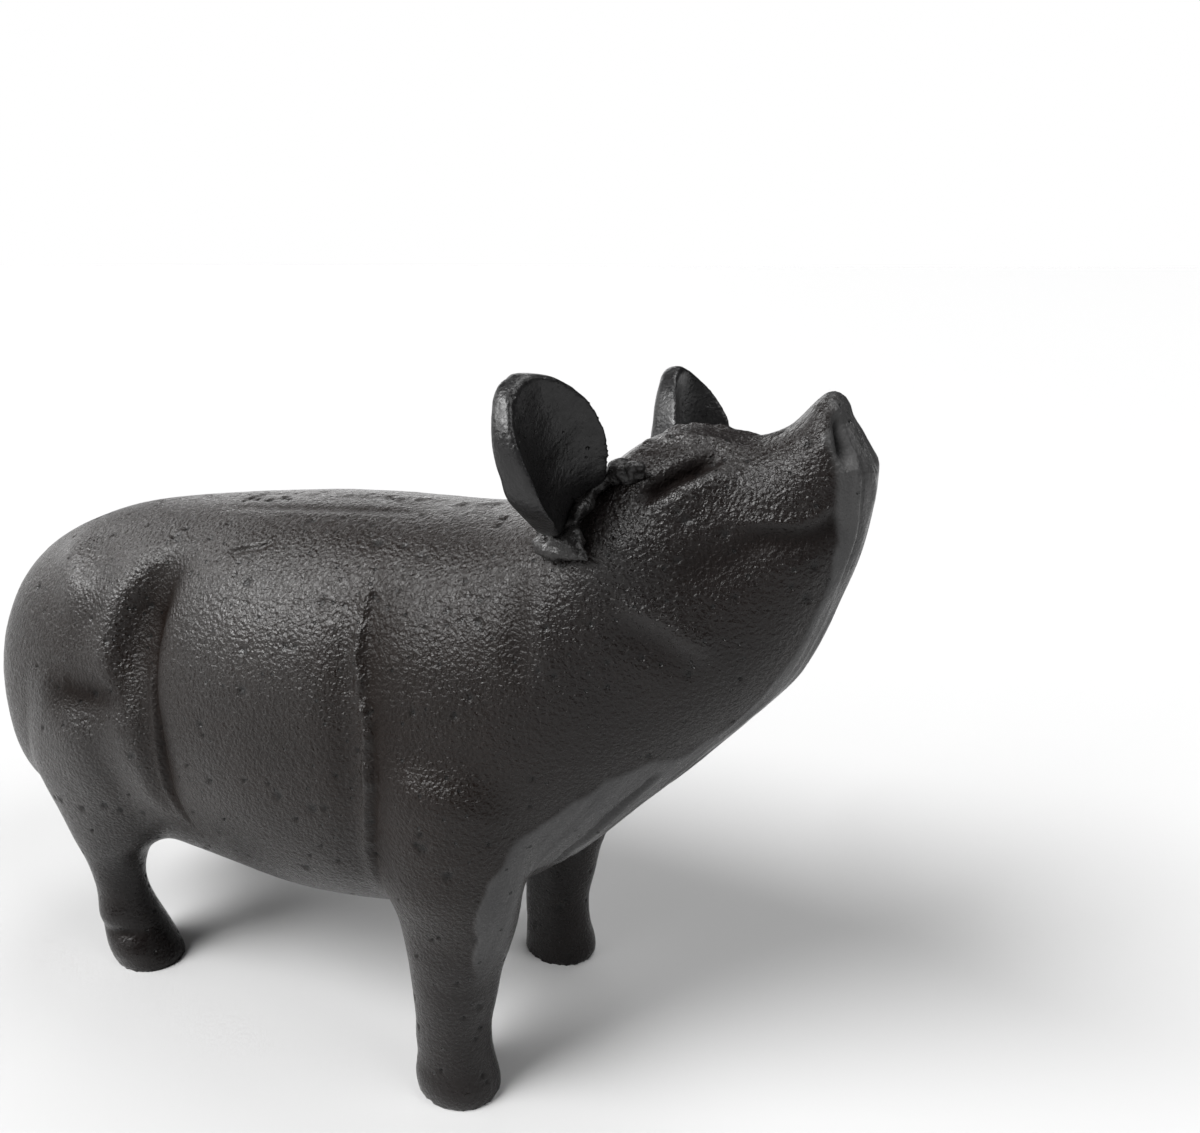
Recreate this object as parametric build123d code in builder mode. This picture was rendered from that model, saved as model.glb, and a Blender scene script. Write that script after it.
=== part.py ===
"""A standing pig figurine: a hollow casting in two half shells, with separate ears and tail.

X runs from the rump to the snout, Y to the pig's left side, Z up.
The origin is on the floor, under the middle of the figurine. Sizes are in millimetres.
"""
from build123d import *
from math import cos, pi, radians, sin
import os

# Driving sizes of the casting
body_length = 301.0
snout_height = 214.0
body_width = 103.0
wall = 9.0
joint_width = 3.0

# Legs: places of the front and hind pair as shares of the body length, the track between
# them as a share of the body width, the height up to the body as a share of the snout
# height, and the hoof that stands on the floor
front_leg_share = 0.1528
hind_leg_share = -0.2990
leg_track_share = 0.6602
leg_height_share = 0.2804
hoof_length = 27.0
hoof_width = 22.0

# Ears: cupped slabs set on the sides of the head, facing forward. The place of a root is
# a share of the body length along X and of the snout height along Z.
ear_height = 43.0
ear_width = 30.0
ear_thickness = 5.5
ear_cup_radius = 19.0
ear_root_depth = 9.0
ear_stand_out = 4.0
ear_right_root_shares = (0.2658, 0.8411)
ear_left_root_shares = (0.2757, 0.7991)
ear_right_splay_angle = 26.0
ear_left_splay_angle = 18.0
ear_right_yaw_angle = 6.0
ear_left_yaw_angle = -18.0

# Tail: one tapering curl that lies against the rump
tail_root_diameter = 6.5
tail_tip_diameter = 3.2
tail_curl_radius = 6.5
tail_height_share = 0.6122
tail_sink_share = 0.6
tail_turn_angle = 290.0
tail_sections = 14

# Paste that holds the ears and the tail
bead_thickness = 3.2
bead_reach = 3.6
bead_width = 27.0
tail_paste_diameter = 13.0
tail_paste_thickness = 2.0

# Steel: a rod cast into each leg, and a pin in each ear and in the tail
leg_rod_diameter = 4.0
leg_rod_length_share = 0.4112
leg_rod_foot_gap = 7.0
pin_diameter = 2.5
ear_pin_length = 36.0
tail_pin_length = 12.0
tail_pin_in_tail = 3.6
steel_clearance = 0.15

# Sections of the trunk and head, from the rump to the snout. Each is a plane through
# a top and a bottom point of the outline: x as a share of the body length, z as a share
# of the snout height, the half width as a share of the half body width, and how far up
# the section its widest point lies.
section_shares = (
    (-0.500, 0.470, -0.500, 0.380, 0.180, 0.46),
    (-0.493, 0.562, -0.493, 0.303, 0.420, 0.44),
    (-0.473, 0.640, -0.473, 0.240, 0.640, 0.44),
    (-0.432, 0.701, -0.435, 0.211, 0.820, 0.44),
    (-0.372, 0.741, -0.379, 0.206, 0.913, 0.47),
    (-0.292, 0.769, -0.299, 0.198, 0.961, 0.47),
    (-0.196, 0.790, -0.203, 0.193, 0.961, 0.46),
    (-0.083, 0.810, -0.083, 0.192, 1.000, 0.45),
    (0.033, 0.821, 0.033, 0.208, 0.990, 0.45),
    (0.136, 0.826, 0.158, 0.260, 0.951, 0.48),
    (0.208, 0.843, 0.237, 0.335, 0.874, 0.50),
    (0.261, 0.883, 0.298, 0.421, 0.777, 0.50),
    (0.307, 0.932, 0.354, 0.507, 0.660, 0.50),
    (0.354, 0.949, 0.407, 0.591, 0.553, 0.48),
    (0.390, 0.944, 0.450, 0.668, 0.447, 0.48),
    (0.419, 0.953, 0.475, 0.748, 0.359, 0.50),
    (0.442, 0.977, 0.492, 0.827, 0.291, 0.50),
    (0.457, 0.999, 0.498, 0.883, 0.233, 0.50),
    (0.465, 1.000, 0.500, 0.916, 0.155, 0.50),
)
section_squareness = 2.2
section_points = 12
hollow_shares = section_shares[1:14]
head_shares = section_shares[8:16]
rump_shares = section_shares[0:6]

# Sections of the legs, from the sole up: height as a share of the leg height, the
# centre's way forward and outward as shares of the hoof length, then the half length
# and half width as shares of the hoof's length and width.
front_leg_shares = (
    (0.000, 0.010, 0.000, 0.500, 0.500),
    (0.130, 0.005, 0.000, 0.475, 0.475),
    (0.270, -0.010, 0.000, 0.450, 0.455),
    (0.580, 0.020, 0.000, 0.495, 0.490),
    (0.830, 0.055, 0.000, 0.580, 0.530),
    (1.000, 0.090, 0.000, 0.680, 0.570),
    (1.330, 0.080, 0.060, 0.870, 0.700),
    (1.830, 0.000, 0.080, 1.080, 0.740),
    (2.250, -0.120, -0.150, 0.800, 0.480),
)
hind_leg_shares = (
    (0.000, 0.040, 0.000, 0.490, 0.480),
    (0.130, -0.060, 0.020, 0.480, 0.475),
    (0.270, -0.140, 0.040, 0.420, 0.420),
    (0.500, -0.210, 0.070, 0.360, 0.345),
    (0.620, -0.220, 0.070, 0.390, 0.360),
    (0.770, -0.190, 0.070, 0.560, 0.450),
    (1.000, -0.080, 0.060, 0.900, 0.570),
    (1.420, 0.000, 0.050, 1.250, 0.760),
    (1.920, 0.060, 0.010, 1.280, 0.680),
    (2.330, 0.100, -0.260, 0.900, 0.400),
)
leg_sections = 18

# Grooves over each side of the body, followed from their top end: x as a share of the
# body length, z as a share of the snout height, then the radius of the round tool and
# how deep it cuts as shares of the body width. A depth under zero leaves the surface.
flank_groove_shares = (
    (-0.140, 0.768, 0.136, -0.020),
    (-0.166, 0.722, 0.146, 0.020),
    (-0.186, 0.670, 0.150, 0.044),
    (-0.191, 0.612, 0.140, 0.050),
    (-0.184, 0.556, 0.115, 0.040),
    (-0.171, 0.500, 0.085, 0.028),
    (-0.161, 0.444, 0.066, 0.022),
    (-0.153, 0.392, 0.054, 0.016),
    (-0.144, 0.345, 0.048, -0.018),
)
shoulder_groove_shares = (
    (0.072, 0.782, 0.080, -0.014),
    (0.080, 0.735, 0.085, 0.010),
    (0.086, 0.685, 0.088, 0.022),
    (0.090, 0.630, 0.088, 0.028),
    (0.095, 0.565, 0.086, 0.028),
    (0.096, 0.500, 0.080, 0.026),
    (0.091, 0.440, 0.070, 0.022),
    (0.085, 0.380, 0.060, 0.016),
    (0.079, 0.320, 0.056, -0.014),
)
groove_sections = 15

# Where a rod goes up a leg: its way forward and outward as shares of the hoof length
front_rod_shares = (0.01, 0.00)
hind_rod_shares = (-0.14, 0.04)

# Outline of an ear, seen from the front: inward way as a share of the ear's width, and
# height above its root as a share of the ear's height
ear_outline_shares = (
    (-0.14, -0.12),
    (-0.38, 0.04),
    (-0.49, 0.28),
    (-0.50, 0.54),
    (-0.42, 0.79),
    (-0.18, 0.96),
    (0.12, 1.00),
    (0.37, 0.86),
    (0.49, 0.58),
    (0.47, 0.26),
    (0.40, 0.00),
)


def smooth_row(table, at):
    """A row between the rows of a table, by a smooth curve that doesn't overshoot."""
    index = 0
    while index < len(table) - 2 and table[index + 1][0] < at:
        index += 1
    low = table[index]
    high = table[index + 1]
    step = high[0] - low[0]
    way = (at - low[0]) / step
    row = []
    for column in range(1, len(low)):
        slopes = []
        for place in (index, index + 1):
            before = table[max(place - 1, 0)]
            here = table[place]
            after = table[min(place + 1, len(table) - 1)]
            rise_in = (here[column] - before[column]) / ((here[0] - before[0]) or 1)
            rise_out = (after[column] - here[column]) / ((after[0] - here[0]) or 1)
            slope = 0
            if rise_in * rise_out > 0:
                slope = 2 * rise_in * rise_out / (rise_in + rise_out)
            slopes.append(slope * step)
        value = low[column] + (high[column] - low[column]) * (3 * way**2 - 2 * way**3)
        value += slopes[0] * way * (1 - way) ** 2 - slopes[1] * way**2 * (1 - way)
        row.append(value)
    return row


def trunk_section(row, grow, along):
    """One closed section of the trunk, grown outwards and moved along the body."""
    top_x, top_z, bottom_x, bottom_z, width, widest = row
    top = Vector(top_x * body_length, 0, top_z * snout_height)
    bottom = Vector(bottom_x * body_length, 0, bottom_z * snout_height)
    up = (top - bottom).normalized()
    forward = Vector(0, 1, 0).cross(up)
    height = (top - bottom).length + 2 * grow
    half_width = width * body_width / 2 + grow
    middle = height * widest
    power = 2 / section_squareness
    points = []
    for number in range(section_points):
        angle = 2 * pi * number / section_points
        across = half_width * abs(sin(angle)) ** power
        rise = abs(cos(angle)) ** power
        if sin(angle) < 0:
            across = -across
        if cos(angle) > 0:
            points.append((across, middle + (height - middle) * rise))
        else:
            points.append((across, middle - middle * rise))
    start = bottom - up * grow + forward * along
    with BuildSketch(Plane(origin=start, x_dir=(0, 1, 0), z_dir=forward)) as section:
        with BuildLine():
            Spline(points, periodic=True)
        make_face()
    return section.sketch


def trunk_sections(rows, grow=0):
    """Sections for a loft of the trunk, or a part of it, grown by an amount all round."""
    sections = []
    for row in rows:
        along = 0
        if row is rows[0]:
            along = -grow
        if row is rows[-1]:
            along = grow
        sections.append(trunk_section(row, grow, along))
    return sections


def leg_loft_sections(place_share, side, table):
    """Sections of one leg, from its flat sole into the trunk. Side is -1 or 1 along Y."""
    sections = []
    for number in range(leg_sections):
        at = table[-1][0] * number / (leg_sections - 1)
        forward, outward, length, width = smooth_row(table, at)
        centre_x = place_share * body_length + forward * hoof_length
        centre_y = side * (leg_track_share * body_width / 2 + outward * hoof_length)
        centre_z = at * leg_height_share * snout_height
        with BuildSketch(Plane((centre_x, centre_y, centre_z))) as section:
            Ellipse(length * hoof_length, width * hoof_width)
        sections.append(section.sketch)
    return sections


def trunk_surface(shape, start, way):
    """The first point where a line from a start point meets the trunk, and its normal."""
    return shape.find_intersection_points(Axis(start, way))[0]


def steel_bar(place, diameter, length, clearance=0):
    """A straight steel bar that starts at a plane, or the hole that it lies in."""
    with BuildPart() as bar:
        with BuildSketch(place):
            Circle(diameter / 2 + clearance)
        extrude(amount=length)
    return bar.part


def leg_rod_bar(place_share, side, rod_shares, clearance=0):
    """The rod of one leg, from above the sole into the hollow."""
    rod_x = place_share * body_length + rod_shares[0] * hoof_length
    rod_y = side * (leg_track_share * body_width / 2 + rod_shares[1] * hoof_length)
    place = Plane((rod_x, rod_y, leg_rod_foot_gap))
    return steel_bar(place, leg_rod_diameter, leg_rod_length_share * snout_height, clearance)


def groove_point(shape, side, table, at):
    """Centre of a groove's tool at a place in its table, the surface's normal and the radius."""
    rows = [(number, *row) for number, row in enumerate(table)]
    x_share, z_share, radius_share, depth_share = smooth_row(rows, at)
    beside = (x_share * body_length, side * body_width, z_share * snout_height)
    point, normal = trunk_surface(shape, beside, (0, -side, 0))
    radius = radius_share * body_width
    return point + normal * (radius - depth_share * body_width), normal, radius


def groove_tool(shape, side, table):
    """A tapering round tool that follows a line over one side of the body."""
    slices = []
    last = len(table) - 1
    for number in range(groove_sections):
        at = last * number / (groove_sections - 1)
        before = max(at - 1 / groove_sections, 0)
        after = min(at + 1 / groove_sections, last)
        centre, normal, radius = groove_point(shape, side, table, at)
        run = groove_point(shape, side, table, after)[0] - groove_point(shape, side, table, before)[0]
        with BuildSketch(Plane(origin=centre, x_dir=normal, z_dir=run.normalized())) as slice_sketch:
            Circle(radius)
        slices.append(slice_sketch.sketch)
    with BuildPart() as tool:
        loft(slices)
    return tool.part


def finish_piece(piece, name):
    """Names one piece and writes it to its own file."""
    piece.label = name
    export_step(piece, f"parts/{name}.step")


os.makedirs("parts", exist_ok=True)

# The trunk alone gives the ears and the tail their seats
with BuildPart() as trunk:
    loft(trunk_sections(section_shares))

# Pieces of each ear, and the hole of its pin in the head
ear_pin_holes = []
for name, side, root_shares, splay_angle, yaw_angle in (
    ("right", -1, ear_right_root_shares, ear_right_splay_angle, ear_right_yaw_angle),
    ("left", 1, ear_left_root_shares, ear_left_splay_angle, ear_left_yaw_angle),
):
    up = Vector(0, side * sin(radians(splay_angle)), cos(radians(splay_angle)))
    face = Vector(cos(radians(yaw_angle)), side * sin(radians(yaw_angle)), 0)
    across = up.cross(face).normalized()
    root_x = root_shares[0] * body_length
    root_z = root_shares[1] * snout_height
    beside_head = (root_x, side * body_width, root_z)
    seat = trunk_surface(trunk.part, beside_head, (0, -side, 0))[0]
    root = seat + Vector(0, side * ear_stand_out, 0)
    front = Plane(origin=root, x_dir=across, z_dir=across.cross(up))
    below = Plane(origin=root - up * ear_root_depth, x_dir=across, z_dir=up)
    pin_start = Plane(origin=root - up * ear_pin_length / 2, x_dir=across, z_dir=up)
    ear_pin_hole = steel_bar(pin_start, pin_diameter, ear_pin_length, steel_clearance)
    ear_pin_holes.append(ear_pin_hole)

    with BuildPart() as ear_pin:
        add(steel_bar(pin_start, pin_diameter, ear_pin_length))
    finish_piece(ear_pin.part, f"ear_pin_{name}")

    with BuildPart() as ear:
        with BuildSketch(front):
            with BuildLine():
                outline = [
                    (-side * inward * ear_width, height * ear_height)
                    for inward, height in ear_outline_shares
                ]
                Spline(outline)
                low_start = (outline[0][0], -ear_root_depth)
                low_end = (outline[-1][0], -ear_root_depth)
                Polyline(outline[0], low_start, low_end, outline[-1])
            make_face()
        extrude(amount=ear_cup_radius, both=True)
        with BuildSketch(below):
            with Locations((0, -ear_cup_radius)):
                Circle(ear_cup_radius + ear_thickness / 2)
                Circle(ear_cup_radius - ear_thickness / 2, mode=Mode.SUBTRACT)
            Rectangle(ear_width, 2 * ear_cup_radius, mode=Mode.INTERSECT)
        extrude(amount=ear_root_depth + ear_height, mode=Mode.INTERSECT)
        add(trunk.part, mode=Mode.SUBTRACT)
        add(ear_pin_hole, mode=Mode.SUBTRACT)
    finish_piece(ear.part, f"ear_{name}")

    with BuildPart() as ear_paste:
        with BuildSketch(below):
            with Locations((0, -ear_cup_radius)):
                Circle(ear_cup_radius + ear_thickness / 2 + bead_reach)
                Circle(ear_cup_radius - ear_thickness / 2 - bead_reach, mode=Mode.SUBTRACT)
            Rectangle(bead_width, 2 * ear_cup_radius, mode=Mode.INTERSECT)
        extrude(amount=ear_root_depth + ear_height)
        loft(trunk_sections(head_shares, bead_thickness), mode=Mode.INTERSECT)
        add(trunk.part, mode=Mode.SUBTRACT)
        add(ear.part, mode=Mode.SUBTRACT)
        add(ear_pin_hole, mode=Mode.SUBTRACT)
    finish_piece(ear_paste.part, f"ear_paste_{name}")

# Tail, its pin and its paste
tail_height = tail_height_share * snout_height
rump_point, rump_normal = trunk_surface(trunk.part, (-body_length, 0, tail_height), (1, 0, 0))
tail_pin_start = Plane(
    origin=rump_point - rump_normal * (tail_pin_length - tail_pin_in_tail),
    x_dir=(0, 1, 0),
    z_dir=rump_normal,
)
tail_pin_hole = steel_bar(tail_pin_start, pin_diameter, tail_pin_length, steel_clearance)

with BuildPart() as tail_pin:
    add(steel_bar(tail_pin_start, pin_diameter, tail_pin_length))
finish_piece(tail_pin.part, "tail_pin")


def tail_point(way):
    """Middle of the tail, as a share of its way round the curl, and its radius there."""
    turn = pi - radians(tail_turn_angle * way)
    y = tail_curl_radius * (1 + cos(turn))
    z = tail_height + tail_curl_radius * sin(turn)
    radius = (tail_root_diameter + (tail_tip_diameter - tail_root_diameter) * way) / 2
    point, normal = trunk_surface(trunk.part, (-body_length, y, z), (1, 0, 0))
    return point + normal * radius * tail_sink_share, normal, radius


with BuildPart() as tail:
    slices = []
    for number in range(tail_sections):
        way = number / (tail_sections - 1)
        small_way = 1 / (4 * tail_sections)
        centre, normal, radius = tail_point(way)
        along = (tail_point(way + small_way)[0] - tail_point(way - small_way)[0]).normalized()
        with BuildSketch(Plane(origin=centre, x_dir=normal, z_dir=along)) as slice_sketch:
            Circle(radius)
        slices.append(slice_sketch.sketch)
    loft(slices)
    add(trunk.part, mode=Mode.SUBTRACT)
    add(tail_pin_hole, mode=Mode.SUBTRACT)
finish_piece(tail.part, "tail")

with BuildPart() as tail_paste:
    with BuildSketch(tail_pin_start):
        Circle(tail_paste_diameter / 2)
    extrude(amount=2 * tail_pin_length)
    loft(trunk_sections(rump_shares, tail_paste_thickness), mode=Mode.INTERSECT)
    add(trunk.part, mode=Mode.SUBTRACT)
    add(tail.part, mode=Mode.SUBTRACT)
    add(tail_pin_hole, mode=Mode.SUBTRACT)
finish_piece(tail_paste.part, "tail_paste")

# The body's outside, with its legs
with BuildPart() as body:
    add(trunk.part)
    for side in (-1, 1):
        loft(leg_loft_sections(front_leg_share, side, front_leg_shares))
        loft(leg_loft_sections(hind_leg_share, side, hind_leg_shares))

# The whole casting, before it is parted into its two halves and the joint
with BuildPart() as casting:
    add(body.part)
    for side in (-1, 1):
        for groove_shares in (flank_groove_shares, shoulder_groove_shares):
            add(groove_tool(body.part, side, groove_shares), mode=Mode.SUBTRACT)
    loft(trunk_sections(hollow_shares, -wall), mode=Mode.SUBTRACT)
    for side in (-1, 1):
        for place_share, rod_shares in (
            (front_leg_share, front_rod_shares),
            (hind_leg_share, hind_rod_shares),
        ):
            rod_hole = leg_rod_bar(place_share, side, rod_shares, steel_clearance)
            add(rod_hole, mode=Mode.SUBTRACT)
    add(ear_pin_holes, mode=Mode.SUBTRACT)
    add(tail_pin_hole, mode=Mode.SUBTRACT)

right_face = Plane.XZ.offset(joint_width / 2)
left_face = Plane.XZ.offset(-joint_width / 2)

with BuildPart() as shell_right:
    add(casting.part)
    split(bisect_by=right_face, keep=Keep.TOP)
finish_piece(shell_right.part, "shell_right")

with BuildPart() as shell_left:
    add(casting.part)
    split(bisect_by=left_face, keep=Keep.BOTTOM)
finish_piece(shell_left.part, "shell_left")

with BuildPart() as seam_mortar:
    add(casting.part)
    split(bisect_by=right_face, keep=Keep.BOTTOM)
    split(bisect_by=left_face, keep=Keep.TOP)
finish_piece(seam_mortar.part, "seam_mortar")

# Steel rods up the legs
for name, place_share, rod_shares, side in (
    ("front_right", front_leg_share, front_rod_shares, -1),
    ("front_left", front_leg_share, front_rod_shares, 1),
    ("hind_right", hind_leg_share, hind_rod_shares, -1),
    ("hind_left", hind_leg_share, hind_rod_shares, 1),
):
    with BuildPart() as leg_rod:
        add(leg_rod_bar(place_share, side, rod_shares))
    finish_piece(leg_rod.part, f"leg_rod_{name}")
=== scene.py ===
import math

import bmesh
import bpy
import numpy as np
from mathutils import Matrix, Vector
from mathutils.bvhtree import BVHTree


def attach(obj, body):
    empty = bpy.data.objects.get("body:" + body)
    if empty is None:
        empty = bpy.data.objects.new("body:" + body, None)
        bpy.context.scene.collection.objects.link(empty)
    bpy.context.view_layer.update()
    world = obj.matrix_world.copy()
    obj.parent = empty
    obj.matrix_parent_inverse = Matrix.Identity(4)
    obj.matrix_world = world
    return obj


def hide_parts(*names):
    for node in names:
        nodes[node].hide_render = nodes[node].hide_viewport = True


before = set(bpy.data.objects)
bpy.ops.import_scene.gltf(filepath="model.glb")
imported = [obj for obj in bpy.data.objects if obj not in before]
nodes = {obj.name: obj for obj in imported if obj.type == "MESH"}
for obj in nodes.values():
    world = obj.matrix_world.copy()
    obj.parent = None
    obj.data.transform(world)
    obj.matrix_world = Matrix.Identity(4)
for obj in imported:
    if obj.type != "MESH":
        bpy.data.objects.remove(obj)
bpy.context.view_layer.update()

mm = 0.001

# Sizes in millimetres
skin_voxel = 0.8
core_voxel = 5.0
core_depth = 3.0
half_joint = 1.5
full_relief = 2.2
strip_height = 0.35
pit_depth = 0.75
sole_height = 2
foot_lift = 7.0
foot_reach = 24.0
bead_lift = 10.0

# Counts and shares
sharp_bend = 0.015
joint_smoothing = 260
strewn_pits = 520


# Mesh helpers. Points go in and out as arrays in millimetres.
def points_of(mesh):
    flat = np.empty(len(mesh.vertices) * 3, np.float32)
    mesh.vertices.foreach_get("co", flat)
    return flat.reshape(-1, 3).astype(float) / mm


def normals_of(mesh):
    flat = np.empty(len(mesh.vertices) * 3, np.float32)
    mesh.vertex_normals.foreach_get("vector", flat)
    return flat.reshape(-1, 3).astype(float)


def edges_of(mesh):
    flat = np.empty(len(mesh.edges) * 2, np.int32)
    mesh.edges.foreach_get("vertices", flat)
    return flat.reshape(-1, 2)


def put_points(mesh, points):
    mesh.vertices.foreach_set("co", (points * mm).astype(np.float32).ravel())
    mesh.update()


def bake(thing):
    """Turns an object's modifiers into its own mesh."""
    graph = bpy.context.evaluated_depsgraph_get()
    made = bpy.data.meshes.new_from_object(thing.evaluated_get(graph))
    thing.modifiers.clear()
    old = thing.data
    thing.data = made
    bpy.data.meshes.remove(old)


def keep_largest(thing):
    """Keeps the largest island of a mesh of quads, which is its outer skin."""
    mesh = thing.data
    edges = edges_of(mesh)
    label = np.arange(len(mesh.vertices))
    while True:
        low = np.minimum(label[edges[:, 0]], label[edges[:, 1]])
        new = label.copy()
        np.minimum.at(new, edges[:, 0], low)
        np.minimum.at(new, edges[:, 1], low)
        new = new[new]
        if (new == label).all():
            break
        label = new
    names, counts = np.unique(label, return_counts=True)
    if len(names) == 1:
        return
    kept = label == names[counts.argmax()]
    corners = np.empty(len(mesh.loops), np.int32)
    mesh.loops.foreach_get("vertex_index", corners)
    quads = corners.reshape(-1, 4)
    quads = quads[kept[quads[:, 0]]]
    number = np.cumsum(kept) - 1
    made = bpy.data.meshes.new(mesh.name)
    made.from_pydata((points_of(mesh)[kept] * mm).tolist(), [], number[quads].tolist())
    thing.data = made
    bpy.data.meshes.remove(mesh)


def skin(name, sources, voxel):
    """One even skin of quads round several meshes, as a new object."""
    bm = bmesh.new()
    for mesh in sources:
        bm.from_mesh(mesh)
    joined = bpy.data.meshes.new(name)
    bm.to_mesh(joined)
    bm.free()
    thing = bpy.data.objects.new(name, joined)
    bpy.context.scene.collection.objects.link(thing)
    remesh = thing.modifiers.new("skin", "REMESH")
    remesh.mode = "VOXEL"
    remesh.voxel_size = voxel * mm
    bake(thing)
    keep_largest(thing)
    return thing


def relax(thing, weights, times):
    """Smooths a mesh, by a weight from 0 to 1 for each vertex."""
    group = thing.vertex_groups.new(name="relax")
    level = np.round(np.clip(weights, 0, 1) * 12).astype(int)
    for step in range(1, 13):
        chosen = np.nonzero(level == step)[0]
        if len(chosen):
            group.add(chosen.tolist(), step / 12, "REPLACE")
    smooth = thing.modifiers.new("relax", "SMOOTH")
    smooth.vertex_group = group.name
    smooth.factor = 0.5
    smooth.iterations = times
    bake(thing)
    thing.vertex_groups.clear()


def spread(values, edges, times):
    """Averages a value over a mesh's neighbours, a number of times."""
    count = np.bincount(edges.ravel(), minlength=len(values)) + 1.0
    for _ in range(times):
        total = np.bincount(edges[:, 0], values[edges[:, 1]], len(values))
        total += np.bincount(edges[:, 1], values[edges[:, 0]], len(values))
        values = (values + total) / count
    return values


def step_up(low, high, value):
    way = np.clip((value - low) / (high - low), 0, 1)
    return way * way * (3 - 2 * way)


def hump(value, width):
    return np.exp(-((value / width) ** 2))


def grain(points, wavelength, seed):
    """Smooth noise from -1 to 1, of one wavelength."""
    place = points / wavelength + seed * 7.31
    cell = np.floor(place).astype(np.int64)
    way = place - cell
    way = way * way * (3 - 2 * way)
    total = np.zeros(len(points))
    for number in range(8):
        corner = np.array([number & 1, number >> 1 & 1, number >> 2 & 1])
        at = cell + corner
        code = at[:, 0] * 73856093 ^ at[:, 1] * 19349663 ^ at[:, 2] * 83492791 ^ seed * 6971
        code = (code ^ (code >> 13)) * 1274126177 & 0x7FFFFFFF
        code = (code ^ (code >> 15)) * 668265263 & 0x7FFFFFFF
        share = np.where(corner, way, 1 - way).prod(1)
        total += ((code >> 7 & 0xFFFF) / 32767.5 - 1) * share
    return total


def along_line(line, points, normals, reach):
    """For vertices near a line over the surface: which they are, how far off, the side, and how far along."""
    line = np.array(line, float)
    near = np.nonzero(((points > line.min(0) - reach) & (points < line.max(0) + reach)).all(1))[0]
    p, n = points[near], normals[near]
    lengths = np.linalg.norm(np.diff(line, axis=0), axis=1)
    starts = np.concatenate([[0], np.cumsum(lengths)])
    best = np.full(len(near), 1e9)
    side = np.zeros(len(near))
    way = np.zeros(len(near))
    for number, length in enumerate(lengths):
        start, run = line[number], line[number + 1] - line[number]
        share = np.clip((p - start) @ run / length**2, 0, 1)
        off = p - start - share[:, None] * run
        far = np.linalg.norm(off, axis=1)
        across = np.cross(run, n)
        across /= np.linalg.norm(across, axis=1)[:, None] + 1e-9
        closer = far < best
        best[closer] = far[closer]
        side[closer] = (off * across).sum(1)[closer]
        way[closer] = ((starts[number] + share * length) / starts[-1])[closer]
    chosen = best < reach
    return near[chosen], best[chosen], side[chosen], way[chosen]


def fade_ends(way, start=0.15, end=0.15):
    return step_up(-0.001, start, way) * step_up(-0.001, end, 1 - way)


# The body's skin: a core fills the hollow, so that only the outside is left
shells = [nodes[name].data for name in ("shell_right", "shell_left", "seam_mortar")]
core = skin("core", shells, core_voxel)
put_points(core.data, points_of(core.data) - normals_of(core.data) * core_depth)
body = skin("body", shells + [core.data], skin_voxel)
bpy.data.objects.remove(core)

# Soft joints between the legs and the trunk: smoothed where the skin bends sharply
points = points_of(body.data)
normals = normals_of(body.data)
edges = edges_of(body.data)
bend = 1 - (normals[edges[:, 0]] * normals[edges[:, 1]]).sum(1)
sharp = np.zeros(len(points))
np.maximum.at(sharp, edges[:, 0], bend)
np.maximum.at(sharp, edges[:, 1], bend)
x, _, z = points.T
joint_zone = step_up(38, 46, z) * step_up(118, 104, x)
crease = (sharp > sharp_bend) * joint_zone
crease = np.clip(spread(crease.astype(float), edges, 60) * 9, 0, 1)

# Lines over the right side are lists of points in millimetres, most of them from the top down
shoulder = [
    (22, -23, 170), (25, -31, 164), (27, -37, 157), (28, -42, 149), (28, -44, 144), (30, -46, 139),
    (29.5, -48, 134), (32, -49, 129), (32.5, -50, 124), (32, -51, 117), (32.5, -51, 110), (31, -50, 99),
    (30.5, -49, 93), (29, -48, 87), (28, -46, 76), (26, -42, 66),
]
flank = [
    (-40, -28, 161), (-46, -32, 157), (-52, -37, 151), (-55, -41, 142), (-54.5, -46, 131),
    (-52, -48, 122), (-50, -50, 111), (-49, -50, 97), (-48, -49, 87), (-44, -48, 79), (-38, -44, 68),
]
flank_hollow = [
    (-47, -30, 160), (-54, -36, 152), (-59, -41, 143), (-61, -44, 133), (-60, -47, 122),
    (-58, -49, 112), (-56, -50, 102), (-54, -49, 92), (-50, -48, 82),
]
for line, width in ((shoulder, 6), (flank, 6), (flank_hollow, 11)):
    for side in (1, -1):
        near, far, _, _ = along_line(line, points * [1, side, 1], normals * [1, side, 1], 3 * width)
        crease[near] = np.maximum(crease[near], hump(np.maximum(far - width, 0), 5))
relax(body, crease, joint_smoothing)
relax(body, np.ones(len(points)) * 0.5, 3)

# Sculpting, in strokes over the surface. Most are on both sides of the pig alike.
points = points_of(body.data)
normals = normals_of(body.data)
edges = edges_of(body.data)
mirrored = points * [1, -1, 1]
mirrored_normals = normals * [1, -1, 1]
raised = np.zeros(len(points))
rough = np.zeros(len(points))


def stroke(line, height, width, offset=0.0, both=True, ends=(0.15, 0.15), rear_width=None, value=None):
    """Raises or sinks a band along a line on the pig's right side, or adds to another value there.

    Offset shifts the band across the line. Ends are the shares of its length over which it fades.
    """
    value = raised if value is None else value
    reach = 3 * max(width, rear_width or 0) + abs(offset)
    for p, n, used in ((points, normals, True), (mirrored, mirrored_normals, both)):
        if not used:
            continue
        near, _, side, way = along_line(line, p, n, reach)
        place = side - offset
        wide = np.where(place < 0, rear_width or width, width)
        value[near] += height * hump(place, wide) * fade_ends(way, *ends)


def swell(centre, height, radius):
    """Raises or sinks a round patch, on both sides alike."""
    for p in (points, mirrored):
        off = np.linalg.norm((p - centre) / radius, axis=1)
        raised[:] += height * np.exp(-(off**2))


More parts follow.
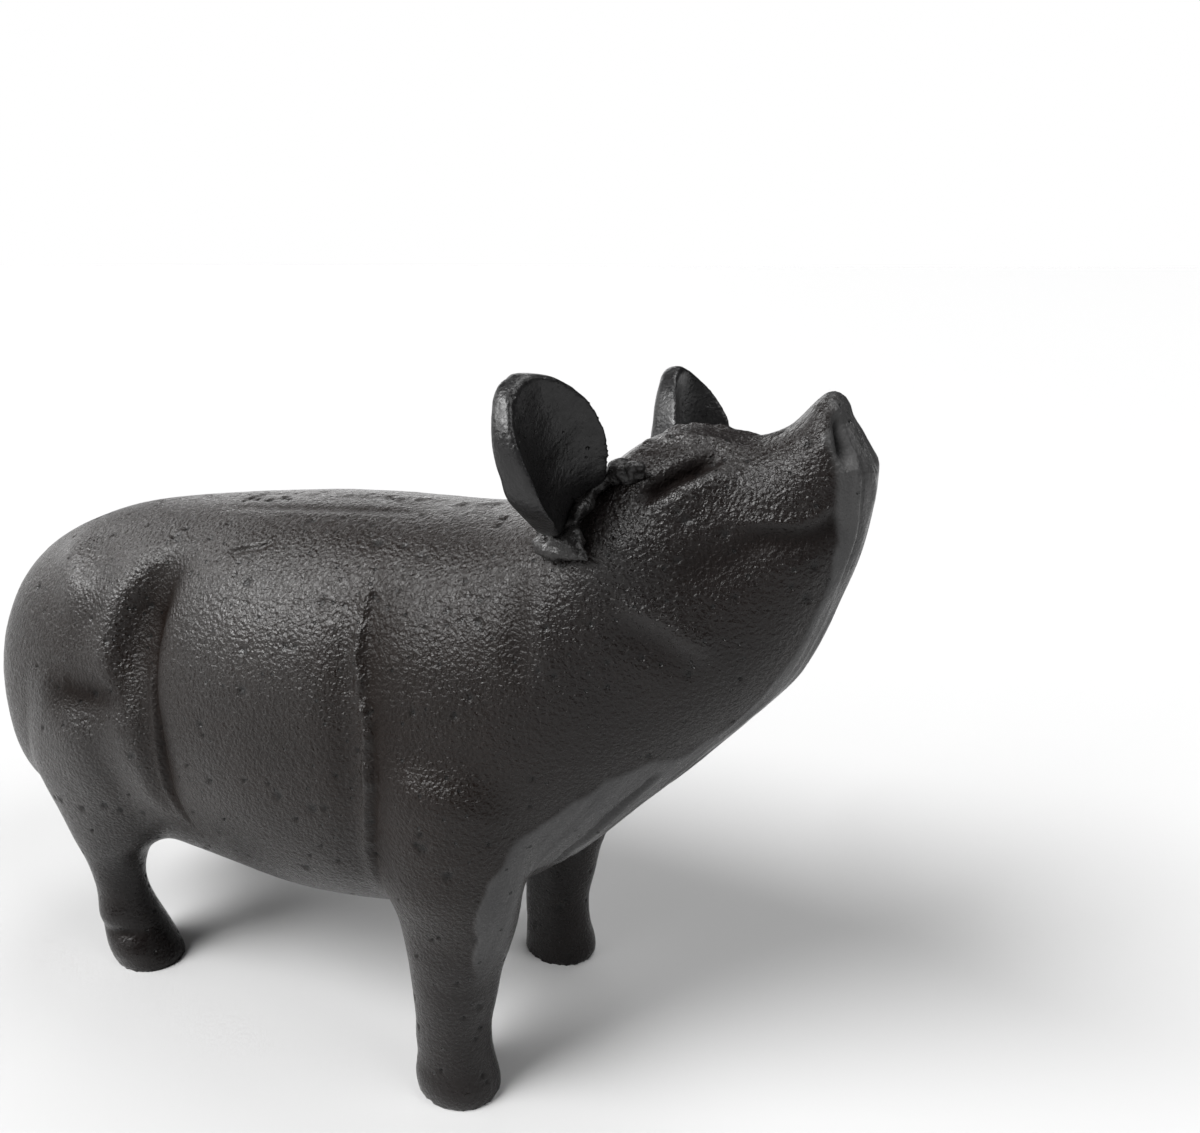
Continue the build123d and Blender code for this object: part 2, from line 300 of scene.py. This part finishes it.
ham_crease = [(-98, -48, 116), (-88, -50, 112), (-78, -49, 112), (-66, -49, 114), (-57, -49, 117)]
hip_ridge = [(-108, -18, 158), (-102, -26, 153), (-93, -33, 148), (-86, -39, 143), (-78, -43, 135)]
eye_crease = [
    (98, -24, 189), (101, -23, 191), (104, -21, 193), (107, -19, 195), (111, -16, 197), (114, -13, 198),
    (117, -10, 200),
]
brow = [
    (86, -14, 198), (91, -12, 199), (96, -9, 200), (107, -8, 202), (114, -7, 202), (120, -9, 200),
    (124, -11, 199),
]
mouth = [
    (121, -21, 186), (127, -20, 186), (130, -19, 186), (134, -18, 186), (137, -17, 186), (140, -16, 187),
    (144, -14, 190),
]
nostril = [(142, -7, 212), (144, -9, 208), (145, -10, 203), (146, -10, 198)]
strip_edge = [
    (139, -6, 214), (140, -9, 210), (142, -12, 206), (144, -12.5, 202), (145, -13, 197), (145, -13, 192),
    (145, -13, 188), (145, -12, 182), (144, -13, 178), (143, -12, 172), (141, -12, 166), (139, -12, 157),
    (136, -13, 151), (132, -14, 144), (125, -13, 133), (113, -18, 123), (105, -25, 121), (95, -31, 117),
    (87, -34, 110), (78, -37, 100), (72, -43, 95), (67, -46, 87), (64, -46, 77), (60, -43, 58), (59, -41, 43),
]
neck_fold = [(71, -30, 172), (72, -32, 168), (73, -35, 164), (75, -38, 159), (76, -40, 150), (76, -42, 140)]
neck_ridge = [(77, -33, 168), (78, -35, 165), (79, -38, 159), (81, -39, 151), (82, -40, 142)]
cheek = [(97, -34, 168), (104, -32, 165), (110, -30, 162), (117, -28, 157), (122, -25, 152)]
jaw_hollow = [(108, -31, 174), (116, -27, 176), (124, -23, 178), (132, -19, 179)]
seam_line = [
    (139, 0, 214), (144, -1.5, 207), (147, -3, 202), (149.5, -2, 197), (150.5, -1, 192), (149.5, -2, 185),
    (149, -2, 176), (147, -1, 166), (143, -2, 155), (137, -1, 144), (129, -2, 133), (119, -1, 121),
    (108, -2, 109), (95, -1, 97),
]
seam_fold = [
    (142, -4, 211), (145, -6, 205), (147, -7, 198), (148, -8, 191), (148, -7, 183), (147, -8, 174),
    (144, -7, 163),
]
cracks = [
    (106, -21, 118), (101, -21, 112), (96, -22, 107), (91, -22, 102), (85, -22, 94), (79, -23, 88),
    (72, -20, 78),
]
spine_groove = [
    (-55, -11, 168), (-43, -12, 170), (-32, -13, 171), (-18, -12.5, 172), (-4, -12, 173), (19, -10, 175),
    (42, -7, 176),
]
lap = [(-29, -29, 163), (-26, -30, 162), (-22, -29, 163), (-17, -28, 164), (-14, -27, 166), (-13, -24, 168)]

# Shoulder line: the belly rounds down into a pitted groove with a rough ridge in front of it
stroke(shoulder, -1.2, 2.8, offset=-2.4, ends=(0.3, 0.2), rear_width=12.0)
stroke(shoulder, -0.35, 1.1, offset=-1.5, ends=(0.85, 0.1))
stroke(shoulder, 1.1, 1.6, offset=0.6, ends=(0.3, 0.4))
stroke(shoulder, 1.0, 2.4, ends=(0.25, 0.3), value=rough)
# Flank: a wide hollow behind the belly, a raised edge of the belly, and a thin crease
stroke(flank_hollow, -2.6, 6.0, ends=(0.3, 0.55), rear_width=8.5)
stroke(flank, 2.4, 10.0, offset=8.0, ends=(0.3, 0.35), rear_width=5.0)
stroke(flank, -1.1, 2.2, offset=-2.4, ends=(0.35, 0.3), rear_width=7.0)
stroke(flank, -0.5, 1.1, offset=-1.4, ends=(0.45, 0.1))
stroke(flank, 0.5, 0.9, offset=0.6, ends=(0.45, 0.3))
stroke(ham_crease, -2.2, 6.5, ends=(0.35, 0.3))
stroke(hip_ridge, 2.0, 7.5, ends=(0.4, 0.35))
swell((-80, -50, 94), 2.0, (15, 14, 15))
swell((-12, -42, 142), 1.9, (30, 20, 20))
swell((-14, -48, 92), 0.8, (28, 18, 20))
# Head
stroke(brow, 1.4, 2.6, ends=(0.3, 0.3))
stroke(brow, 1.0, 3.6, ends=(0.2, 0.2), value=rough)
stroke(eye_crease, -3.4, 2.0, ends=(0.3, 0.35))
stroke(eye_crease, 1.3, 3.4, offset=5.0, ends=(0.3, 0.3))
stroke(mouth, -1.5, 3.6, offset=3.8, ends=(0.4, 0.02))
stroke(mouth, 0.7, 1.5, offset=-0.4, ends=(0.4, 0.02))
stroke(nostril, -4.4, 2.3, ends=(0.3, 0.4))
stroke(neck_fold, -0.8, 4.6, ends=(0.4, 0.4))
stroke(neck_ridge, 0.6, 3.6, ends=(0.4, 0.4))
stroke(cheek, 1.3, 3.6, ends=(0.3, 0.35))
stroke(cheek, -0.6, 4.0, offset=6.5, ends=(0.4, 0.4))
stroke(jaw_hollow, -1.4, 6.0, ends=(0.4, 0.4))
swell((96, -31, 178), 1.6, (11, 10, 8))
# Joint: lines of the scraped mortar, cracks at the chest, a groove beside the spine
stroke(seam_line, -0.8, 0.9, ends=(0.02, 0.1), both=False)
stroke(seam_line, 0.5, 1.4, offset=2.0, ends=(0.02, 0.1), both=False)
stroke(seam_fold, -0.6, 1.0, ends=(0.1, 0.3))
stroke(seam_fold, 0.4, 1.2, offset=1.8, ends=(0.1, 0.3))
stroke(cracks, -1.1, 1.0, ends=(0.1, 0.1))
stroke(cracks, 0.5, 1.4, offset=-2.0, ends=(0.1, 0.1))
stroke(spine_groove, -0.4, 2.0, ends=(0.3, 0.4))
stroke(lap, 0.7, 0.9, offset=-0.9, ends=(0.1, 0.3), both=False)
stroke(lap, -0.5, 0.8, offset=0.7, ends=(0.1, 0.3), both=False)

# Legs: bumps at the fetlocks, a flare above each hoof, and flats on the front and inner side
swell((-94, -43, 21), 1.8, (6, 6, 4.5))
swell((-89, -44, 14.5), -1.3, (8, 6, 2.2))
swell((-87, -44, 7), 1.1, (8, 7, 4))
swell((-97, -44, 37), 0.5, (5, 6, 6))
swell((36, -42, 6), 0.9, (8, 8, 5))
swell((50, -44, 5), 0.8, (8, 8, 4))
swell((58, -34, 24), -0.7, (5, 9, 8))
swell((34, -36, 18), 0.6, (5, 8, 5))

# Painted highlight and painted shade: raised forms reflect more and hollows less, by this relief, and hollows
# are rougher too
relief_sheen_and_shade = np.clip(raised / full_relief, -1, 1)

# The scraped strip: smooth, and raised a little at a crisp edge that waves
side_y = np.abs(points[:, 1])
scraped = np.zeros(len(points))
right_edge = np.array(strip_edge, float)
for line in (right_edge, right_edge * [1, -1, 1]):
    near, far, _, way = along_line(line, points, normals, 46)
    lengths = np.concatenate([[0], np.cumsum(np.linalg.norm(np.diff(line, axis=0), axis=1))])
    edge_y = np.interp(way * lengths[-1], lengths, np.abs(line[:, 1]))
    wave = grain(points[near], 7.0, 9) * 0.8
    within = step_up(-0.5, 0.5, edge_y + wave - side_y[near])
    reach = np.interp(way, [0, 0.55, 0.72, 0.8, 1], [20, 30, 45, 14, 9])
    within *= step_up(0, 2, reach - far) * (way > 0.001) * step_up(-0.15, 0.05, normals[near, 0])
    within *= 1 - step_up(0.9, 1.0, way)
    scraped[near] = np.maximum(scraped[near], within)
scraped = np.maximum(scraped, hump(side_y, 5.0) * step_up(128, 136, points[:, 0]))
raised += scraped * strip_height
drawn = np.stack([points[:, 1] * 1.9, points[:, 0] * 0.16, points[:, 2] * 0.16], 1)
raised += scraped * (grain(drawn, 3.2, 11) * 0.35 + grain(drawn, 7.0, 12) * 0.25)

# Unevenness of the casting: slow waves, pebbles, and pits
calm = np.clip(scraped * 0.8 + step_up(70, 40, points[:, 2]) * 0.75, 0, 1)
raised += grain(points, 26.0, 1) * 0.35 + grain(points, 11.0, 2) * 0.07
raised += (grain(points, 3.4, 3) * 0.018 + grain(points, 2.1, 4) * 0.035) * (1 - calm)
rough += hump(side_y, 3.5) * step_up(160, 168, points[:, 2]) * step_up(85, 75, points[:, 0]) * 0.7
raised += (grain(points, 3.0, 7) * 0.5 + grain(points, 1.9, 8) * 0.35) * np.clip(rough, 0, 1)

# Pits: some placed, with a centre and a radius each, and many strewn by a seed
pit = np.zeros(len(points))
dice = np.random.default_rng(7)
placed = [
    ((14, -50, 98), 1.5), ((18, -50, 99), 0.9), ((31, -24, 170), 1.0), ((-43, -5, 171), 1.3),
    ((-39, -6, 171), 1.1), ((-33, -7, 172), 1.3), ((-29, -5, 172), 1.2), ((-26, -6, 173), 1.0),
    ((106, -31, 176), 1.2), ((58, -38, 28), 1.0), ((60, -42, 46), 1.0), ((62, -44, 66), 0.9),
    ((112, -24, 186), 1.0), ((128, -16, 198), 1.1), ((133, -13, 203), 0.9),
]
strewn = dice.choice(len(points), strewn_pits, replace=False)
centres = [np.array(c, float) for c, _ in placed] + [points[i] for i in strewn]
radii = [r for _, r in placed] + list(0.55 + 0.75 * dice.random(len(strewn)) ** 3)
order = np.argsort(points[:, 0])
sorted_x = points[order, 0]
for centre, radius in zip(centres, radii):
    low, high = np.searchsorted(sorted_x, [centre[0] - 3, centre[0] + 3])
    near = order[low:high]
    off = np.linalg.norm(points[near] - centre, axis=1) / radius
    inside = off < 2.2
    pit[near[inside]] += hump(off[inside], 1.0)
pit = np.clip(pit, 0, 1) * (1 - 0.8 * scraped)
raised -= pit * pit_depth

# The soles stay flat on the floor
sole = (points[:, 2] < sole_height) & (normals[:, 2] < -0.6)
raised[sole] = 0
moved = points + normals * raised[:, None]
moved[:, 2] = np.maximum(moved[:, 2], 0)
moved[sole, 2] = 0
put_points(body.data, moved)
body.data.shade_smooth()

# Masks for the paint: the scraped strip, calm parts, pits (painted shade), cool parts and relief (painted
# highlight and painted shade)
cool = np.clip(step_up(55, 95, points[:, 0]) + step_up(75, 45, points[:, 2]), 0, 1)
masks = {"scraped": scraped, "calm": calm, "pit": pit, "cool": cool, "relief_sheen_and_shade": relief_sheen_and_shade}
for name, values in masks.items():
    layer = body.data.attributes.new(name, "FLOAT", "POINT")
    layer.data.foreach_set("value", values.astype(np.float32))


def cut_piece(name, source, low, high, node):
    """The part of the skin between two planes across Y, closed at the cuts."""
    bm = bmesh.new()
    bm.from_mesh(source)
    for bound, way in ((low, -1), (high, 1)):
        if bound is None:
            continue
        cut = bmesh.ops.bisect_plane(bm, geom=bm.verts[:] + bm.edges[:] + bm.faces[:], dist=1e-7,
                                     plane_co=(0, bound * mm, 0), plane_no=(0, way, 0), clear_outer=True)
        rim = [e for e in cut["geom_cut"] if isinstance(e, bmesh.types.BMEdge) and len(e.link_faces) == 1]
        bmesh.ops.triangle_fill(bm, use_beauty=True, use_dissolve=False, edges=rim, normal=(0, way, 0))
    mesh = bpy.data.meshes.new(name)
    bm.to_mesh(mesh)
    bm.free()
    piece = bpy.data.objects.new(name, mesh)
    bpy.context.scene.collection.objects.link(piece)
    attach(piece, "root")
    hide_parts(node)
    return piece


right_half = cut_piece("right_half", body.data, None, -half_joint, "shell_right")
left_half = cut_piece("left_half", body.data, half_joint, None, "shell_left")
joint_strip = cut_piece("joint_strip", body.data, -half_joint, half_joint, "seam_mortar")
outside = bmesh.new()
outside.from_mesh(body.data)
head = BVHTree.FromBMesh(outside)
outside.free()
bpy.data.objects.remove(body)


def on_head(points):
    """Nearest points of the head, and how far outside it the points lie."""
    found = [head.find_nearest(Vector(p) * mm) for p in points]
    place = np.array([f[0] for f in found]) / mm
    normal = np.array([f[1] for f in found])
    return place, normal, ((points - place) * normal).sum(1)


def lifted_bead(points, low_lift, high_lift):
    """Moves a bead up over the head, and keeps each point's distance from the head."""
    _, _, off = on_head(points)
    z = points[:, 2]
    share = (z - z.min()) / (z.max() - z.min())
    moved = points.copy()
    moved[:, 2] += low_lift + (high_lift - low_lift) * share
    moved[:, 1] -= np.sign(points[:, 1]) * 0.5 * low_lift
    place, normal, _ = on_head(moved)
    return place + normal * off[:, None]


def lifted_foot(points, lift, reach):
    """Draws the lower end of an ear up and towards the head."""
    low = points[:, 2].min()
    share = step_up(low + reach, low, points[:, 2])
    moved = points.copy()
    moved[:, 2] += lift * share
    moved[:, 1] -= np.sign(points[:, 1]) * 0.4 * lift * share
    return moved


# Ears, paste and tail
def small_piece(name, node, voxel, times, lumps, lump_size, shaped=None):
    """A smoothed and lumpy skin round one solid, which takes that solid's place."""
    piece = skin(name, [nodes[node].data], voxel)
    count = len(piece.data.vertices)
    relax(piece, np.ones(count), times)
    if shaped:
        put_points(piece.data, shaped(points_of(piece.data)))
    p, n = points_of(piece.data), normals_of(piece.data)
    up = grain(p, lump_size, 5) * lumps + grain(p, lump_size / 2.3, 6) * lumps * 0.5 + lumps * 0.7
    put_points(piece.data, p + n * up[:, None])
    piece.data.shade_smooth()
    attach(piece, "root")
    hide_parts(node)
    return piece


def ear_shape(points):
    return lifted_foot(points, foot_lift, foot_reach)


def bead_shape(points):
    return lifted_bead(points, bead_lift, 0.0)


ears = [
    small_piece(f"ear_skin_{side}", f"ear_{side}", 0.6, 40, 0.3, 8.0, ear_shape)
    for side in ("right", "left")
]
beads = [
    small_piece(f"ear_bead_{side}", f"ear_paste_{side}", 0.5, 26, 1.5, 4.2, bead_shape)
    for side in ("right", "left")
]
tail_skin = small_piece("tail_skin", "tail", 0.35, 4, 0.1, 4.0)
tail_bead = small_piece("tail_bead", "tail_paste", 0.35, 2, 0.3, 2.0)


# Materials
# Painted shade: a darker colour for the pits and pinholes
pinhole_shade_colour = (0.006, 0.006, 0.006)
scraped_colours = ((0.030, 0.030, 0.0315), (0.062, 0.061, 0.060))


def node_of(tree, kind, settings=None, **inputs):
    """A shader node. Inputs are values or the sockets that drive them."""
    made = tree.nodes.new(kind)
    for key, value in (settings or {}).items():
        setattr(made, key, value)
    for key, value in inputs.items():
        socket = made.inputs[key.replace("_", " ")]
        if isinstance(value, bpy.types.NodeSocket):
            tree.links.new(value, socket)
        else:
            socket.default_value = value
    return made


def blend_of(tree, share, first, second):
    """A colour between two, by a share."""
    made = node_of(tree, "ShaderNodeMix", {"data_type": "RGBA"})
    for socket, value in ((made.inputs[0], share), (made.inputs[6], first), (made.inputs[7], second)):
        if isinstance(value, bpy.types.NodeSocket):
            tree.links.new(value, socket)
        elif isinstance(value, tuple):
            socket.default_value = (*value, 1)
        else:
            socket.default_value = value
    return made.outputs[2]


def range_of(tree, value, low, high, first, second):
    """Maps a value from one range to another."""
    made = node_of(tree, "ShaderNodeMapRange", Value=value)
    for number, setting in zip(range(1, 5), (low, high, first, second)):
        made.inputs[number].default_value = setting
    return made.outputs[0]


def noise_of(tree, place, scale, detail, **inputs):
    return node_of(tree, "ShaderNodeTexNoise", Vector=place, Scale=scale, Detail=detail, **inputs).outputs[0]


def worked_out(tree, operation, first, second):
    """A sum, a product or a comparison of two values."""
    made =node_of(tree, "ShaderNodeMath", {"operation": operation})
    for socket, value in zip(made.inputs, (first, second)):
        if isinstance(value, bpy.types.NodeSocket):
            tree.links.new(value, socket)
        else:
            socket.default_value = value
    return made.outputs[0]


def mask_of(tree, name):
    made = tree.nodes.new("ShaderNodeAttribute")
    made.attribute_name = name
    return made.outputs["Fac"]


def painted(name, dark, light, rough, bump, masked=False, streaked=0.0):
    """Satin paint over a cast surface, with mottling, pebbled grain and pinholes, with painted shade in the
    holes; masked, it also has painted highlight and shade by relief.
    """
    material = bpy.data.materials.new(name)
    material.use_nodes = True
    tree = material.node_tree
    shader = tree.nodes["Principled BSDF"]
    place = node_of(tree, "ShaderNodeTexCoord").outputs["Object"]
    mottle = noise_of(tree, place, 42.0, 6.0, Roughness=0.62)
    speck = noise_of(tree, place, 650.0, 3.0, Roughness=0.7)
    pebble = noise_of(tree, place, 900.0, 2.0, Roughness=0.5, Distortion=0.3)
    fine = noise_of(tree, place, 1200.0, 4.0, Roughness=0.6)
    # Pinholes: the middles of some cells, sunk by a bump and painted darker as shade
    nearest = {"feature": "F1"}
    cells = node_of(tree, "ShaderNodeTexVoronoi", nearest, Vector=place, Scale=290.0, Randomness=1.0)
    lot = node_of(tree, "ShaderNodeSeparateColor", Color=cells.outputs["Color"]).outputs[0]
    middle = range_of(tree, cells.outputs["Distance"], 0.10, 0.17, 1.0, 0.0)
    hole = worked_out(tree, "MULTIPLY", middle, worked_out(tree, "GREATER_THAN", lot, 0.55))
    colour = blend_of(tree, mottle, dark, light)
    if masked:
        cool = tuple(v * k for v, k in zip(dark, (0.92, 1.02, 1.22)))
        cool_light = tuple(v * k for v, k in zip(light, (0.90, 1.0, 1.12)))
        colour = blend_of(tree, mask_of(tree, "cool"), colour, blend_of(tree, mottle, cool, cool_light))
        colour = blend_of(tree, mask_of(tree, "scraped"), colour, blend_of(tree, mottle, *scraped_colours))
        # Painted shade in the pits
        colour = blend_of(tree, mask_of(tree, "pit"), colour, pinhole_shade_colour)
    # Painted shade in the pinholes
    colour = blend_of(tree, worked_out(tree, "MULTIPLY", hole, 0.85), colour, pinhole_shade_colour)
    tree.links.new(colour, shader.inputs["Base Color"])
    shader.inputs["Specular IOR Level"].default_value = 0.37
    roughness = range_of(tree, speck, 0.3, 0.7, rough - 0.10, rough + 0.12)
    if masked:
        # Painted highlight on raised forms and painted shade in hollows: the reflection's strength follows
        # the relief, and hollows are also rougher
        relief_sheen_and_shade = mask_of(tree, "relief_sheen_and_shade")
        tree.links.new(range_of(tree, relief_sheen_and_shade, -1.0, 1.0, 0.02, 0.50), shader.inputs["Specular IOR Level"])
        roughness = worked_out(tree, "ADD", roughness, range_of(tree, relief_sheen_and_shade, -1.0, 0.0, 0.2, 0.0))
    tree.links.new(roughness, shader.inputs["Roughness"])
    # Bumps, one over the other: pebbles, pinholes, drawn lines where it was scraped, and fine grain
    depth = range_of(tree, mask_of(tree, "calm"), 0.0, 1.0, bump, bump * 0.3) if masked else bump
    pebbles = node_of(tree, "ShaderNodeBump", Strength=depth, Distance=0.0007, Height=pebble)
    last = node_of(tree, "ShaderNodeBump", {"invert": True}, Strength=0.8, Distance=0.0007, Height=hole)
    tree.links.new(pebbles.outputs[0], last.inputs["Normal"])
    if masked or streaked:
        stretch = node_of(tree, "ShaderNodeMapping", Vector=place, Scale=(90.0, 1100.0, 90.0))
        lines = noise_of(tree, stretch.outputs[0], 1.0, 4.0, Roughness=0.6)
        share = worked_out(tree, "MULTIPLY", mask_of(tree, "scraped"), 0.5) if masked else streaked
        drawn = node_of(tree, "ShaderNodeBump", Strength=share, Distance=0.0006, Height=lines)
        tree.links.new(last.outputs[0], drawn.inputs["Normal"])
        last = drawn
    top = node_of(tree, "ShaderNodeBump", Strength=bump * 0.5, Distance=0.0003, Height=fine)
    tree.links.new(last.outputs[0], top.inputs["Normal"])
    tree.links.new(top.outputs[0], shader.inputs["Normal"])
    return material


def bare_steel(name):
    """Drawn bar, with fine lines along it."""
    material = bpy.data.materials.new(name)
    material.use_nodes = True
    tree = material.node_tree
    shader = tree.nodes["Principled BSDF"]
    place = node_of(tree, "ShaderNodeTexCoord").outputs["Object"]
    stretch = node_of(tree, "ShaderNodeMapping", Vector=place, Scale=(900.0, 900.0, 40.0))
    lines = noise_of(tree, stretch.outputs[0], 1.0, 4.0)
    colour = blend_of(tree, lines, (0.30, 0.29, 0.28), (0.55, 0.55, 0.56))
    bump = node_of(tree, "ShaderNodeBump", Strength=0.3, Distance=0.0001, Height=lines)
    tree.links.new(colour, shader.inputs["Base Color"])
    tree.links.new(range_of(tree, lines, 0.3, 0.7, 0.32, 0.5), shader.inputs["Roughness"])
    tree.links.new(bump.outputs[0], shader.inputs["Normal"])
    shader.inputs["Metallic"].default_value = 1.0
    return material


stone = painted("painted_stone", (0.0038, 0.0025, 0.0020), (0.0115, 0.0078, 0.0063), 0.29, 0.9, masked=True)
mortar = painted("painted_mortar", (0.0070, 0.0066, 0.0066), (0.021, 0.0196, 0.019), 0.30, 0.6, streaked=0.3)
smooth_stone = painted("smooth_stone", (0.0052, 0.0050, 0.0053), (0.012, 0.0116, 0.0118), 0.34, 0.35)
steel = bare_steel("drawn_steel")


def dress(piece, material):
    """Gives a piece its material."""
    piece.data.materials.clear()
    piece.data.materials.append(material)


for piece in (right_half, left_half):
    dress(piece, stone)
dress(joint_strip, stone)
# The solids that nothing replaces are the rods and pins
for thing in nodes.values():
    if not thing.hide_render:
        thing.data.materials.clear()
        thing.data.materials.append(steel)
for piece in ears + [tail_skin]:
    dress(piece, smooth_stone)
for piece in beads + [tail_bead]:
    dress(piece, mortar)

# Floor, light and camera
floor_mesh = bpy.data.meshes.new("floor")
floor_mesh.from_pydata([(-40, -40, 0), (40, -40, 0), (40, 40, 0), (-40, 40, 0)], [], [(0, 1, 2, 3)])
floor = bpy.data.objects.new("floor", floor_mesh)
bpy.context.scene.collection.objects.link(floor)
paper = bpy.data.materials.new("paper")
paper.use_nodes = True
paper_shader = paper.node_tree.nodes["Principled BSDF"]
paper_shader.inputs["Base Color"].default_value = (0.50, 0.50, 0.50, 1)
paper_shader.inputs["Roughness"].default_value = 0.9
paper_shader.inputs["Specular IOR Level"].default_value = 0.1
floor_mesh.materials.append(paper)

# The background is white where the camera sees it, and nearly dark for the light
world = bpy.data.worlds.new("studio")
bpy.context.scene.world = world
world.use_nodes = True
tree = world.node_tree
back = tree.nodes["Background"]
path = node_of(tree, "ShaderNodeLightPath")
back.inputs["Color"].default_value = (0.03, 0.03, 0.032, 1)
white = node_of(tree, "ShaderNodeBackground", Color=(1, 1, 1, 1), Strength=1.0)
mix = node_of(tree, "ShaderNodeMixShader")
tree.links.new(path.outputs["Is Camera Ray"], mix.inputs[0])
tree.links.new(back.outputs[0], mix.inputs[1])
tree.links.new(white.outputs[0], mix.inputs[2])
tree.links.new(mix.outputs[0], tree.nodes["World Output"].inputs[0])


lamp_distance = 2
lamp_width = 30


def lamp(name, strength, azimuth, height):
    """A wide, soft sun that shines on the pig, from an azimuth and a height in degrees."""
    data = bpy.data.lights.new(name, "SUN")
    data.energy = strength
    data.angle = math.radians(lamp_width)
    thing = bpy.data.objects.new(name, data)
    bpy.context.scene.collection.objects.link(thing)
    turn, rise = math.radians(azimuth), math.radians(height)
    way = (math.cos(turn) * math.cos(rise), math.sin(turn) * math.cos(rise), math.sin(rise))
    thing.location = Vector(way) * lamp_distance
    thing.rotation_euler = (-thing.location).to_track_quat("-Z", "Y").to_euler()


lamp("behind", 0.5, 130, 12)
lamp("left", 0.4, 165, 14)
lamp("front_left", 1.0, 205, 30)
lamp("front", 1.0, 235, 30)
lamp("front_top", 4.2, 232, 50)
lamp("snout_side", 1.1, 0, 50)
lamp("top", 1.1, 90, 68)

camera_data = bpy.data.cameras.new("camera")
camera_data.lens = 28.302
camera_data.sensor_width = 36.0
camera = bpy.data.objects.new("camera", camera_data)
bpy.context.scene.collection.objects.link(camera)
camera.location = (0.18448, -0.22378, 0.24364)
camera.rotation_euler = (math.radians(72), 0, math.radians(25.3))
camera_data.clip_start = 0.01
bpy.context.scene.camera = camera
bpy.context.scene.view_settings.view_transform = "Standard"
